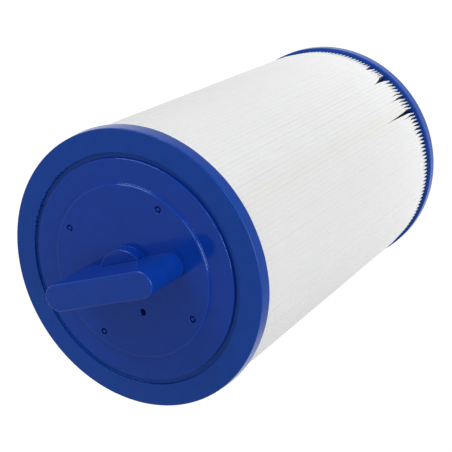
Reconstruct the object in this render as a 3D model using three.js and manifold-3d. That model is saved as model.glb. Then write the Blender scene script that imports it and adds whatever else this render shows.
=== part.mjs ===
// Pleated spa filter cartridge, in millimetres. +Z runs up the cartridge's axis, from the
// threaded nipple to the hand grip. The origin is on the axis, at the nipple's lower end.
// +X runs along the grip bar, and the vent hole is on the -Y side.

import * as THREE from 'three';
import { mergeVertices } from 'three/addons/utils/BufferGeometryUtils.js';
import Module from 'manifold-3d';

// Whole cartridge
const CAP_RADIUS = 76;
const BODY_LENGTH = 248;
const NIPPLE_LENGTH = 28;
const GAP = 0.3;
const BOTTOM_FACE = NIPPLE_LENGTH;
const TOP_FACE = BOTTOM_FACE + BODY_LENGTH;

// End caps: a face with a recess for a plate, a floor behind it and a lip around the pleats
const CAP_HEIGHT = 7.6;
const CAP_LIP = 1.4;
const CAP_EDGE_RADIUS = 1.4;
const RECESS_DEPTH = 3;
const CAP_FLOOR = 2;
const TOP_RECESS_RADIUS = 63.5;
const BOTTOM_RECESS_RADIUS = 44.3;
const CAP_SIDES = 56;

// Perforated core, in stacked lengths
const CORE_RADIUS = 32;
const CORE_WALL = 2.6;
const CORE_COUNT = 4;
const CORE_SIDES = 20;
const LAP_HEIGHT = 2.4;
const LAP_CLEARANCE = 0.15;
const WINDOW_ROWS = 2;
const WINDOWS_AROUND = 10;
const WINDOW_WIDTH = 7;
const WINDOW_HEIGHT = 21;

// Pleated sheet
const PLEATS = 180;
const PLEAT_OUTER = 74.2;
const PLEAT_INNER = CORE_RADIUS + 1.6;
const FOLD_DEPTH = 11;
const SEAM_ANGLE = 15;
const SEAM_INNER = 62;
const SEAM_OUTER = 69;
const SEAM_THICKNESS = 0.5;

// Closing plate under the grip
const PLATE_RADIUS = 60.7;
const RIM_HEIGHT = 0.3;
const PLATEAU_RADIUS = 47.4;
const PLATEAU_HEIGHT = 1.9;
const PLATE_FILLET = 1.2;
const PLATE_WALL = 2.8;
const BOSS_RADIUS = 14.5;
const BOSS_HEIGHT = 7.8;
const BOSS_CHAMFER = 0.6;
const BOSS_ROOT = 0.5;
const SOCKET_RADIUS = 7.2;
const SOCKET_FLOOR = 0.6;
const SPIGOT_RADIUS = 28.6;
const SPIGOT_WALL = 2.4;
const SPIGOT_REACH = 12;
const PLATE_SIDES = 56;
const DIMPLE_CIRCLE = 41.6;
const DIMPLE_RADIUS = 1.4;
const DIMPLE_DEPTH = 0.7;
const NUB_RADIUS = 0.7;
const NUB_HEIGHT = 0.45;
const NUB_ROOT = 0.2;
const VENT_OFFSET = 22;
const VENT_RADIUS = 1.4;

// Grip bar
const GRIP_LENGTH = 68.4;
const GRIP_WIDTH = 14.4;
const GRIP_TOP = 31.2;
const GRIP_EDGE = 0.9;
const GRIP_DRAFT = 0.3;
const STEM_RADIUS = 6.9;
const STEM_OVERLAP = 1;
const CAVITY_LENGTH = 22;
const CAVITY_WIDTH = 8.8;
const CAVITY_DEPTH = 26;
const CAVITY_OFFSET = 19;

// Threaded adaptor
const FLANGE_RADIUS = BOTTOM_RECESS_RADIUS - GAP;
const FLANGE_THICKNESS = RECESS_DEPTH - GAP;
const BORE_RADIUS = 18.5;
const THROAT_DROP = 2;
const THROAT_RISE = 4;
const NIPPLE_CHAMFER = 0.8;
const THREAD_ROOT = 22.3;
const THREAD_DEPTH = 1.5;
const THREAD_PITCH = 4.23;
const THREAD_START = 3;
const THREAD_END = 24;
const THREAD_STEPS_PER_TURN = 5;
const THREAD_FLANK_SLOPE = 2.2;
const THREAD_ROOT_WIDTH = 0.6;
const ADAPTOR_SIDES = 36;

const CAP_BLUE = '#223a82';
const PLATE_BLUE = '#213b86';
const GRIP_BLUE = '#223f8b';
const MEDIA_WHITE = '#e8e8e9';
const SEAM_WHITE = '#dddcd2';
const CORE_WHITE = '#dfe1e2';
const ADAPTOR_BLUE = '#21397f';

const wasm = await Module();
wasm.setup();

// ---------------------------------------------------------------- solids

function merged(geometry) {
  const bare = geometry.clone();
  bare.deleteAttribute('normal');
  bare.deleteAttribute('uv');
  return mergeVertices(bare, 1e-4);
}

function solid(geometry) {
  const closed = merged(geometry);
  const mesh = new wasm.Mesh({
    numProp: 3,
    vertProperties: new Float32Array(closed.attributes.position.array),
    triVerts: new Uint32Array(closed.index.array),
  });
  return new wasm.Manifold(mesh);
}

function geometryOf(body) {
  const mesh = body.getMesh();
  const geometry = new THREE.BufferGeometry();
  geometry.setAttribute('position', new THREE.BufferAttribute(new Float32Array(mesh.vertProperties), 3));
  geometry.setIndex(new THREE.BufferAttribute(new Uint32Array(mesh.triVerts), 1));
  geometry.computeVertexNormals();
  return geometry;
}

function lathe(profile, sides, turn = 0) {
  const points = profile.map(([radius, height]) => new THREE.Vector2(radius, height));
  const geometry = new THREE.LatheGeometry(points, sides, turn, 2 * Math.PI);
  geometry.rotateX(Math.PI / 2);
  return geometry;
}

function cylinder(radius, low, high, sides) {
  const geometry = new THREE.CylinderGeometry(radius, radius, high - low, sides);
  geometry.rotateX(Math.PI / 2);
  geometry.translate(0, 0, (low + high) / 2);
  return geometry;
}

// Points on a round corner, from one angle to another in degrees
function arc(centreRadius, centreHeight, radius, from, to, steps) {
  const points = [];
  for (let i = 0; i <= steps; i += 1) {
    const angle = THREE.MathUtils.degToRad(from + ((to - from) * i) / steps);
    points.push([centreRadius + radius * Math.cos(angle), centreHeight + radius * Math.sin(angle)]);
  }
  return points;
}

function mesh(name, geometry, colour, roughness) {
  const material = new THREE.MeshStandardMaterial({ color: colour, roughness, metalness: 0 });
  const piece = new THREE.Mesh(geometry, material);
  piece.name = name;
  return piece;
}

// ---------------------------------------------------------------- end caps

// Both caps are drawn with their outer face up at height 0 and their lip hanging down.
function capGeometry(recessRadius) {
  const profile = [
    [SPIGOT_RADIUS + GAP, -RECESS_DEPTH - CAP_FLOOR],
    [CAP_RADIUS - CAP_LIP, -RECESS_DEPTH - CAP_FLOOR],
    [CAP_RADIUS - CAP_LIP, -CAP_HEIGHT],
    [CAP_RADIUS, -CAP_HEIGHT],
    ...arc(CAP_RADIUS - CAP_EDGE_RADIUS, -CAP_EDGE_RADIUS, CAP_EDGE_RADIUS, 0, 90, 3),
    [recessRadius, 0],
    [recessRadius, -RECESS_DEPTH],
    [SPIGOT_RADIUS + GAP, -RECESS_DEPTH],
    [SPIGOT_RADIUS + GAP, -RECESS_DEPTH - CAP_FLOOR],
  ];
  return lathe(profile, CAP_SIDES);
}

function topEndCap() {
  const piece = mesh('top_end_cap', capGeometry(TOP_RECESS_RADIUS), CAP_BLUE, 0.38);
  piece.position.z = TOP_FACE;
  return piece;
}

function bottomEndCap() {
  const piece = mesh('bottom_end_cap', capGeometry(BOTTOM_RECESS_RADIUS), CAP_BLUE, 0.38);
  piece.rotation.x = Math.PI;
  piece.position.z = BOTTOM_FACE;
  return piece;
}

// ---------------------------------------------------------------- closing plate and grip

function plateBody() {
  const underside = -RECESS_DEPTH + GAP;
  const spigotEnd = underside - SPIGOT_REACH;
  const profile = [
    [0, PLATEAU_HEIGHT - PLATE_WALL],
    [SPIGOT_RADIUS - SPIGOT_WALL, PLATEAU_HEIGHT - PLATE_WALL],
    [SPIGOT_RADIUS - SPIGOT_WALL, spigotEnd],
    [SPIGOT_RADIUS, spigotEnd],
    [SPIGOT_RADIUS, underside],
    [PLATE_RADIUS, underside],
    ...arc(PLATE_RADIUS - PLATE_FILLET, RIM_HEIGHT - PLATE_FILLET, PLATE_FILLET, 0, 90, 2),
    [PLATEAU_RADIUS, RIM_HEIGHT],
    ...arc(PLATEAU_RADIUS - PLATE_FILLET, PLATEAU_HEIGHT - PLATE_FILLET, PLATE_FILLET, 0, 90, 2),
    [SOCKET_RADIUS, PLATEAU_HEIGHT],
    [SOCKET_RADIUS, SOCKET_FLOOR],
    [0, SOCKET_FLOOR],
  ];
  return solid(lathe(profile, PLATE_SIDES));
}

// The boss is two cheeks, one on each side of the slot that the grip bar stands in.
function bossCheeks() {
  const root = PLATEAU_HEIGHT - BOSS_ROOT;
  const disc = solid(lathe([
    [0, root],
    [BOSS_RADIUS, root],
    [BOSS_RADIUS, BOSS_HEIGHT - BOSS_CHAMFER],
    [BOSS_RADIUS - BOSS_CHAMFER, BOSS_HEIGHT],
    [0, BOSS_HEIGHT],
  ], PLATE_SIDES));
  const slotWidth = GRIP_WIDTH + GRIP_DRAFT + 2 * GAP;
  const slot = new THREE.BoxGeometry(3 * BOSS_RADIUS, slotWidth, 3 * BOSS_HEIGHT);
  return disc.subtract(solid(slot));
}

function handlePlate() {
  let body = plateBody().add(bossCheeks());
  const diagonal = DIMPLE_CIRCLE * Math.SQRT1_2;
  for (const [sideX, sideY] of [[1, 1], [-1, 1], [-1, -1], [1, -1]]) {
    const dimple = cylinder(DIMPLE_RADIUS, PLATEAU_HEIGHT - DIMPLE_DEPTH, PLATEAU_HEIGHT + 1, 12);
    dimple.translate(sideX * diagonal, sideY * diagonal, 0);
    const dimpleFloor = PLATEAU_HEIGHT - DIMPLE_DEPTH;
    const nub = cylinder(NUB_RADIUS, dimpleFloor - NUB_ROOT, dimpleFloor + NUB_HEIGHT, 8);
    nub.translate(sideX * diagonal, sideY * diagonal, 0);
    body = body.subtract(solid(dimple)).add(solid(nub));
  }
  const vent = cylinder(VENT_RADIUS, -SPIGOT_REACH, BOSS_HEIGHT, 12);
  vent.translate(0, -VENT_OFFSET, 0);
  body = body.subtract(solid(vent));
  const piece = mesh('handle_plate', geometryOf(body), PLATE_BLUE, 0.32);
  piece.position.z = TOP_FACE;
  return piece;
}

function stadium(length, width) {
  const radius = width / 2;
  const straight = length / 2 - radius;
  const shape = new THREE.Shape();
  shape.moveTo(-straight, -radius);
  shape.lineTo(straight, -radius);
  shape.absarc(straight, 0, radius, -Math.PI / 2, Math.PI / 2, false);
  shape.lineTo(-straight, radius);
  shape.absarc(-straight, 0, radius, Math.PI / 2, 1.5 * Math.PI, false);
  return shape;
}

// The bar is a little longer and wider at its base, as a moulded part's draft makes it.
function gripBar(low, high) {
  const outline = stadium(GRIP_LENGTH - 2 * GRIP_EDGE, GRIP_WIDTH - 2 * GRIP_EDGE);
  const bar = new THREE.ExtrudeGeometry(outline, {
    depth: high - low - 2 * GRIP_EDGE,
    bevelThickness: GRIP_EDGE,
    bevelSize: GRIP_EDGE,
    bevelSegments: 2,
    curveSegments: 8,
  });
  bar.translate(0, 0, low + GRIP_EDGE);
  const position = bar.attributes.position;
  for (let i = 0; i < position.count; i += 1) {
    const below = (high - position.getZ(i)) / (high - low);
    const growth = GRIP_DRAFT * below;
    position.setX(i, position.getX(i) * (1 + (2 * growth) / GRIP_LENGTH));
    position.setY(i, position.getY(i) * (1 + growth / GRIP_WIDTH));
  }
  return bar;
}

function handGrip() {
  const low = PLATEAU_HEIGHT + GAP;
  let body = solid(gripBar(low, GRIP_TOP));
  for (const side of [-1, 1]) {
    const cavity = new THREE.BoxGeometry(CAVITY_LENGTH, CAVITY_WIDTH, 2 * CAVITY_DEPTH);
    cavity.translate(side * CAVITY_OFFSET, 0, low);
    body = body.subtract(solid(cavity));
  }
  body = body.add(solid(cylinder(STEM_RADIUS, SOCKET_FLOOR + GAP, low + STEM_OVERLAP, 24)));
  const piece = mesh('hand_grip', geometryOf(body), GRIP_BLUE, 0.3);
  piece.position.z = TOP_FACE;
  return piece;
}

// ---------------------------------------------------------------- pleats and core

const PACK_LOW = BOTTOM_FACE + RECESS_DEPTH + CAP_FLOOR + GAP;
const PACK_HIGH = TOP_FACE - RECESS_DEPTH - CAP_FLOOR - GAP;

// A zigzag ring: points on the outer radius and the inner radius in turn
function zigzag(outer, inner) {
  const points = [];
  for (let i = 0; i < 2 * PLEATS; i += 1) {
    const radius = i % 2 === 0 ? outer : inner;
    const angle = (Math.PI * i) / PLEATS;
    points.push(new THREE.Vector2(radius * Math.cos(angle), radius * Math.sin(angle)));
  }
  return points;
}

function pleatedMedia() {
  const sheet = new THREE.Shape(zigzag(PLEAT_OUTER, PLEAT_INNER + FOLD_DEPTH));
  sheet.holes.push(new THREE.Path(zigzag(PLEAT_OUTER - FOLD_DEPTH, PLEAT_INNER)));
  const geometry = new THREE.ExtrudeGeometry(sheet, { depth: PACK_HIGH - PACK_LOW, bevelEnabled: false });
  const piece = mesh('pleated_media', geometry, MEDIA_WHITE, 0.9);
  piece.position.z = PACK_LOW;
  return piece;
}

function mediaSeam() {
  const depth = SEAM_OUTER - SEAM_INNER;
  const strip = new THREE.BoxGeometry(depth, SEAM_THICKNESS, PACK_HIGH - PACK_LOW);
  strip.translate(SEAM_INNER + depth / 2, 0, 0);
  const piece = mesh('media_seam', strip, SEAM_WHITE, 0.6);
  piece.rotation.z = THREE.MathUtils.degToRad(SEAM_ANGLE);
  piece.position.z = (PACK_LOW + PACK_HIGH) / 2;
  return piece;
}

// The top of each length has a thin collar inside, which the next length's skirt fits around.
function coreSegment(index) {
  const length = (PACK_HIGH - PACK_LOW - GAP * (CORE_COUNT - 1)) / CORE_COUNT;
  const inner = CORE_RADIUS - CORE_WALL;
  const middle = CORE_RADIUS - CORE_WALL / 2;
  const last = index === CORE_COUNT - 1;
  const first = index === 0;
  const topEdge = last
    ? [[CORE_RADIUS, length], [inner, length]]
    : [
        [CORE_RADIUS, length],
        [middle - LAP_CLEARANCE, length],
        [middle - LAP_CLEARANCE, length + LAP_HEIGHT],
        [inner, length + LAP_HEIGHT],
      ];
  const bottomEdge = first
    ? [[inner, 0], [CORE_RADIUS, 0]]
    : [
        [inner, LAP_HEIGHT],
        [middle + LAP_CLEARANCE, LAP_HEIGHT],
        [middle + LAP_CLEARANCE, 0],
        [CORE_RADIUS, 0],
      ];
  const profile = [...bottomEdge, ...topEdge, bottomEdge[0]];
  let body = solid(lathe(profile, CORE_SIDES, Math.PI / CORE_SIDES));
  const pitch = (length - 2 * LAP_HEIGHT) / WINDOW_ROWS;
  for (let row = 0; row < WINDOW_ROWS; row += 1) {
    for (let column = 0; column < WINDOWS_AROUND; column += 1) {
      const window = new THREE.BoxGeometry(4 * CORE_WALL, WINDOW_WIDTH, WINDOW_HEIGHT);
      window.translate(CORE_RADIUS - CORE_WALL / 2, 0, LAP_HEIGHT + (row + 0.5) * pitch);
      window.rotateZ((2 * Math.PI * column) / WINDOWS_AROUND);
      body = body.subtract(solid(window));
    }
  }
  const piece = mesh(`core_segment_${index + 1}`, geometryOf(body), CORE_WHITE, 0.5);
  piece.position.z = PACK_LOW + index * (length + GAP);
  return piece;
}

// ---------------------------------------------------------------- threaded adaptor

function threadHeight(turns) {
  const phase = turns - Math.floor(turns);
  const ridge = 1 - Math.abs(2 * phase - 1);
  return THREAD_DEPTH * THREE.MathUtils.clamp(THREAD_FLANK_SLOPE * ridge - THREAD_ROOT_WIDTH, 0, 1);
}

// Ridges fade in and out over one pitch at each end of the thread.
function threadFade(height) {
  const rise = (height - THREAD_START) / THREAD_PITCH;
  const fall = (THREAD_END - height) / THREAD_PITCH;
  return THREE.MathUtils.clamp(Math.min(rise, fall), 0, 1);
}

function threadedAdaptor() {
  const step = THREAD_PITCH / THREAD_STEPS_PER_TURN;
  const threadRows = [];
  for (let height = THREAD_START; height <= THREAD_END; height += step) {
    threadRows.push([THREAD_ROOT, height]);
  }
  const spigotEnd = BOTTOM_FACE + FLANGE_THICKNESS + SPIGOT_REACH;
  const throat = BOTTOM_FACE + FLANGE_THICKNESS;
  const profile = [
    [BORE_RADIUS, 0],
    [THREAD_ROOT - NIPPLE_CHAMFER, 0],
    [THREAD_ROOT, NIPPLE_CHAMFER],
    ...threadRows,
    [THREAD_ROOT, BOTTOM_FACE],
    [FLANGE_RADIUS, BOTTOM_FACE],
    [FLANGE_RADIUS, throat],
    [SPIGOT_RADIUS, throat],
    [SPIGOT_RADIUS, spigotEnd],
    [SPIGOT_RADIUS - SPIGOT_WALL, spigotEnd],
    [SPIGOT_RADIUS - SPIGOT_WALL, throat + THROAT_RISE],
    [BORE_RADIUS, throat - THROAT_DROP],
    [BORE_RADIUS, 0],
  ];
  const geometry = lathe(profile, ADAPTOR_SIDES);
  const position = geometry.attributes.position;
  for (let i = 0; i < position.count; i += 1) {
    const radius = Math.hypot(position.getX(i), position.getY(i));
    const height = position.getZ(i);
    const onThread = Math.abs(radius - THREAD_ROOT) < 0.01 && height > THREAD_START && height < THREAD_END;
    if (onThread) {
      const angle = Math.atan2(position.getY(i), position.getX(i));
      const turns = height / THREAD_PITCH - angle / (2 * Math.PI);
      const grown = (radius + threadHeight(turns) * threadFade(height)) / radius;
      position.setX(i, position.getX(i) * grown);
      position.setY(i, position.getY(i) * grown);
    }
  }
  return mesh('threaded_adaptor', geometry, ADAPTOR_BLUE, 0.35);
}

// ---------------------------------------------------------------- assembly

const cartridge = new THREE.Group();
cartridge.add(topEndCap());
cartridge.add(handlePlate());
cartridge.add(handGrip());
cartridge.add(pleatedMedia());
cartridge.add(mediaSeam());
for (let index = 0; index < CORE_COUNT; index += 1) {
  cartridge.add(coreSegment(index));
}
cartridge.add(bottomEndCap());
cartridge.add(threadedAdaptor());

export default cartridge;
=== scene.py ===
"""Visual model of the pleated spa filter cartridge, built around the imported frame."""

import math

import bmesh
import bpy
import numpy as np
from mathutils import Matrix, Quaternion, Vector


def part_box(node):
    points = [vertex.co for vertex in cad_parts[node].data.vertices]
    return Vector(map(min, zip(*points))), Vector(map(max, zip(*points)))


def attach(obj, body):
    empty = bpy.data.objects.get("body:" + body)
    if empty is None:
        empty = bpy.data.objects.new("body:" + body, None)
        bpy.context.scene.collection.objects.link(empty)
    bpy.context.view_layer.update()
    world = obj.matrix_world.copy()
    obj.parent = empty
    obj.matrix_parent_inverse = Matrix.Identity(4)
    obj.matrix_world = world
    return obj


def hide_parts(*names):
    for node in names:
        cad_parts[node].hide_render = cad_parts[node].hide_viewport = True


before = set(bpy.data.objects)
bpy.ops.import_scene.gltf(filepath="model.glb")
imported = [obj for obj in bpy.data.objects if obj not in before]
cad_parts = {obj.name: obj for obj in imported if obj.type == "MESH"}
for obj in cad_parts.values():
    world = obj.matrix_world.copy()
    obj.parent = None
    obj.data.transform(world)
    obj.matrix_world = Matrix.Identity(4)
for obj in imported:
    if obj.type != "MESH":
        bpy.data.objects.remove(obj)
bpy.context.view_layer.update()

BODY = "root"
MM = 0.001

# ---------------------------------------------------------------- driving sizes, in millimetres
# Levels and radii that the frame already holds are read from it.


def low_mm(node):
    """Lowest corner of a frame node's box, in millimetres."""
    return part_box(node)[0] / MM


def high_mm(node):
    """Highest corner of a frame node's box, in millimetres."""
    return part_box(node)[1] / MM


# Levels on the caps, the plate and the grip are counted from their cap's outer face, and the nipple's
# from its own end.

# Space left between a cap's recess and the piece bonded into it
SEAT_GAP = 0.3

# End caps: cast rings, with a recess for the plate or the adaptor's flange
TOP_FACE = high_mm("top_end_cap").z
BOTTOM_FACE = low_mm("bottom_end_cap").z
CAP_RADIUS = high_mm("top_end_cap").x
CAP_EDGE = 0.8
CAP_HEIGHT = 7.4
CAP_BORE = 28.9
CAP_LIP = 3.3
CAP_SIDES = 360
RECESS_DEPTH = 3.0
GROOVE_DEPTH = 1.5
TOP_RECESS_RADIUS = 63.5
FLANGE_RADIUS = high_mm("threaded_adaptor").x
BOTTOM_RECESS_RADIUS = FLANGE_RADIUS + SEAT_GAP
POTTING_DROP = 0.3
TOP_FLARE = 0.6
TOP_LIP_ROUND = 0.6
BOTTOM_FLARE = 0.1
BOTTOM_LIP_ROUND = 0.8
LIP_FOOT_ROUND = 0.25
LIP_WAVE_BAND = 2.0
LIP_WAVE_HEIGHT = 0.28
LIP_WAVE_REACH = 0.14

# Casting bubbles in the groove: how many, over which degrees, and their ranges of size and place
VOID_COUNT = 16
VOID_ARC = (108.0, 147.0)
VOID_SCATTER = 1.2
VOID_RADIUS = (0.4, 0.85)
VOID_STRETCH = 1.7
VOID_REACH = (-0.1, 0.3)
VOID_DEPTH = (0.5, 0.9)

# Closing plate
PLATE_RADIUS = high_mm("handle_plate").x
PLATE_RIM = 0.3
PLATE_EDGE = 0.7
PLATE_WALL = 2.8
PLATEAU_RADIUS = 47.4
PLATEAU_HEIGHT = 1.9
PLATEAU_EDGE = 1.15
SPIGOT_RADIUS = 28.6
SPIGOT_WALL = 2.4
SPIGOT_REACH = 12.0
BOSS_RADIUS = 14.5
BOSS_HEIGHT = high_mm("handle_plate").z - TOP_FACE
SOCKET_RADIUS = 7.2
SOCKET_FLOOR = 0.6
DIMPLE_CIRCLE = 41.6
DIMPLE_RADIUS = 1.85
DIMPLE_DEPTH = 1.7
NUB_RADIUS = 1.1
VENT_OFFSET = 22.0
VENT_RADIUS = 1.85
VENT_CUT = 8.0
PIN_MARK_RADIUS = 0.55

# Grip bar, its stem and its two pockets
GRIP_TOP = high_mm("hand_grip").z - TOP_FACE
JOINT_GAP = 0.1
GRIP_LOW = PLATEAU_HEIGHT + JOINT_GAP
GRIP_LENGTH = 68.4
GRIP_WIDTH = 14.4
GRIP_DRAFT = 0.3
GRIP_LOW_EDGE = 0.25
GRIP_TOP_EDGE = 0.95
STEM_RADIUS = 6.9
STEM_LAP = 1.5
STEM_CLEARANCE = 0.3
CAVITY_OFFSET = 19.0
CAVITY_DEPTH = 26.0
CAVITY_LENGTH = 22.4
CAVITY_WIDTH = 9.2
CAVITY_DRAFT = 1.2

# Support tube: the shares of a column and of a row that stay solid, and the plain band at each end
CORE_RADIUS = high_mm("core_segment_1").x
CORE_WALL = 2.6
CORE_EDGE = 0.35
CORE_SEGMENTS = 4
CORE_COLUMNS = 12
CORE_ROWS = 3
CORE_BAND = 5.0
STAVE_SHARE = 0.36
HOOP_SHARE = 0.26

# Pleated sheet: a tip is drawn in from MEDIA_RADIUS towards PINCH_RADIUS at a cap, fully up to
# PINCH_FROM away from it and not at all past PINCH_TO. At the lower cap it moves all of the way on
# one side of the ring and SLACK_MEAN of it on average, and at the upper cap UPPER_PINCH of it.
PLEATS = 180
PLEAT_PITCH = 360.0 / PLEATS
MEDIA_RADIUS = 75.1
MEDIA_INNER = 33.6
MEDIA_THICKNESS = 0.45
MEDIA_LOW = low_mm("pleated_media").z
MEDIA_HIGH = high_mm("pleated_media").z
PINCH_RADIUS = 73.5
PINCH_FROM = 2.0
PINCH_TO = 18.0
UPPER_PINCH = 0.35
SLACK_MEAN = 0.55

# Seam bead, in the fold at this angle
SEAM_ANGLE = 15.0
SEAM_INNER = 60.0
SEAM_OUTER = 66.5
SEAM_HALF_WIDTH = 0.22
SEAM_INSET = 0.4
SEAM_STEPS = 90

# Threaded nipple
BORE_RADIUS = 18.5
THREAD_ROOT = 22.3
THREAD_DEPTH = 1.5
THREAD_PITCH = 4.23
THREAD_START = 3.0
THREAD_END = 24.0
THREAD_ROWS_PER_TURN = 16


# ---------------------------------------------------------------- mesh helpers


def place(obj, material, node):
    """Gives a piece its material, its body and the frame node that it stands for."""
    obj.data.materials.clear()
    obj.data.materials.append(material)
    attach(obj, BODY)
    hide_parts(node)
    return obj


def mesh_object(name, vertices, faces, sharp_angle=32.0):
    """A mesh from points in millimetres, smooth except at edges sharper than sharp_angle."""
    mesh = bpy.data.meshes.new(name)
    mesh.from_pydata([tuple(MM * value for value in point) for point in vertices], [], faces)
    mesh.validate()
    smooth(mesh, sharp_angle)
    obj = bpy.data.objects.new(name, mesh)
    bpy.context.scene.collection.objects.link(obj)
    return obj


def smooth(mesh, sharp_angle):
    """Smooth shading, except at edges sharper than sharp_angle."""
    mesh.polygons.foreach_set("use_smooth", [True] * len(mesh.polygons))
    mesh.set_sharp_from_angle(angle=math.radians(sharp_angle))
    mesh.update()


def even_shading(obj):
    """Keeps the shading of flat faces flat beside their rounded edges."""
    weighted = obj.modifiers.new("even_shading", "WEIGHTED_NORMAL")
    weighted.keep_sharp = True
    weighted.weight = 100


def rounded(corners, steps=5):
    """Closed outline through (radius, height, fillet) corners, each fillet drawn as an arc."""
    outline = []
    count = len(corners)
    for index, (radius, height, fillet) in enumerate(corners):
        corner = Vector((radius, height))
        before = Vector(corners[index - 1][:2]) - corner
        after = Vector(corners[(index + 1) % count][:2]) - corner
        if fillet <= 0 or before.length < 1e-6 or after.length < 1e-6:
            outline.append((radius, height))
            continue
        before.normalize()
        after.normalize()
        half = math.acos(max(-1.0, min(1.0, before.dot(after)))) / 2
        reach = fillet / math.tan(half)
        start = corner + before * reach
        end = corner + after * reach
        centre = corner + (before + after).normalized() * (fillet / math.sin(half))
        from_angle = math.atan2(start.y - centre.y, start.x - centre.x)
        turn = math.atan2(end.y - centre.y, end.x - centre.x) - from_angle
        turn = (turn + math.pi) % (2 * math.pi) - math.pi
        for step in range(steps + 1):
            angle = from_angle + turn * step / steps
            outline.append((centre.x + fillet * math.cos(angle), centre.y + fillet * math.sin(angle)))
    return outline


def revolve(name, outline, sides, warp=None, sharp_angle=32.0):
    """Turns a closed outline of (radius, height) points round the Z axis.

    Points on the axis are shared by all sides. warp(radius, height, angle) may move a point.
    """
    vertices = []
    rings = []
    for radius, height in outline:
        if radius < 1e-6:
            rings.append([len(vertices)] * sides)
            vertices.append((0.0, 0.0, height))
            continue
        rings.append(list(range(len(vertices), len(vertices) + sides)))
        for side in range(sides):
            angle = 2 * math.pi * side / sides
            moved_radius, moved_height = warp(radius, height, angle) if warp else (radius, height)
            vertices.append((moved_radius * math.cos(angle), moved_radius * math.sin(angle), moved_height))
    faces = []
    for index, ring in enumerate(rings):
        following = rings[(index + 1) % len(rings)]
        for side in range(sides):
            onward = (side + 1) % sides
            corners = [ring[side], ring[onward], following[onward], following[side]]
            distinct = list(dict.fromkeys(corners))
            if len(distinct) > 2:
                faces.append(distinct)
    obj = mesh_object(name, vertices, faces, sharp_angle)
    outward(obj)
    smooth(obj.data, sharp_angle)
    return obj


def outward(obj):
    """Turns every face of a closed mesh outwards."""
    bm = bmesh.new()
    bm.from_mesh(obj.data)
    bmesh.ops.recalc_face_normals(bm, faces=bm.faces)
    if bm.calc_volume(signed=True) < 0:
        bmesh.ops.reverse_faces(bm, faces=bm.faces)
    bm.to_mesh(obj.data)
    bm.free()


def combine(obj, tools, operation, sharp_angle=32.0):
    """Joins or cuts obj with each tool, then removes the tools."""
    for tool in tools:
        cut = obj.modifiers.new("combine", "BOOLEAN")
        cut.operation = operation
        cut.solver = "EXACT"
        cut.object = tool
    evaluated = obj.evaluated_get(bpy.context.evaluated_depsgraph_get())
    mesh = bpy.data.meshes.new_from_object(evaluated)
    obj.modifiers.clear()
    old = obj.data
    obj.data = mesh
    mesh.name = old.name
    bpy.data.meshes.remove(old)
    smooth(mesh, sharp_angle)
    for tool in tools:
        tool_mesh = tool.data
        bpy.data.objects.remove(tool)
        bpy.data.meshes.remove(tool_mesh)


def shift(obj, x=0.0, y=0.0, z=0.0):
    """Moves a mesh's points by millimetres, leaving the object at the origin."""
    obj.data.transform(Matrix.Translation((MM * x, MM * y, MM * z)))
    obj.data.update()
    return obj


# ---------------------------------------------------------------- materials

# Noise seldom leaves this range
NOISE_LOW = 0.3
NOISE_HIGH = 0.7
PLASTIC_IOR = 1.5
PLASTIC_TINT = (0.62, 0.84, 1.0, 1.0)
MEDIA_WHITE = (0.85, 0.85, 0.853)
SEAM_WARMTH = (0.99, 0.985, 0.955, 1.0)
# Painted shade: the navy that the sheet is darkened to in its folds near the caps and on the tips' sides
# near the lower cap
FOLD_SHADE_COLOUR = (0.045, 0.055, 0.17, 1.0)
# Where the warm trace lies from the seam, and how far it reaches, in degrees
TRACE_OFFSET = 2.0
TRACE_REACH = 5.0


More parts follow.
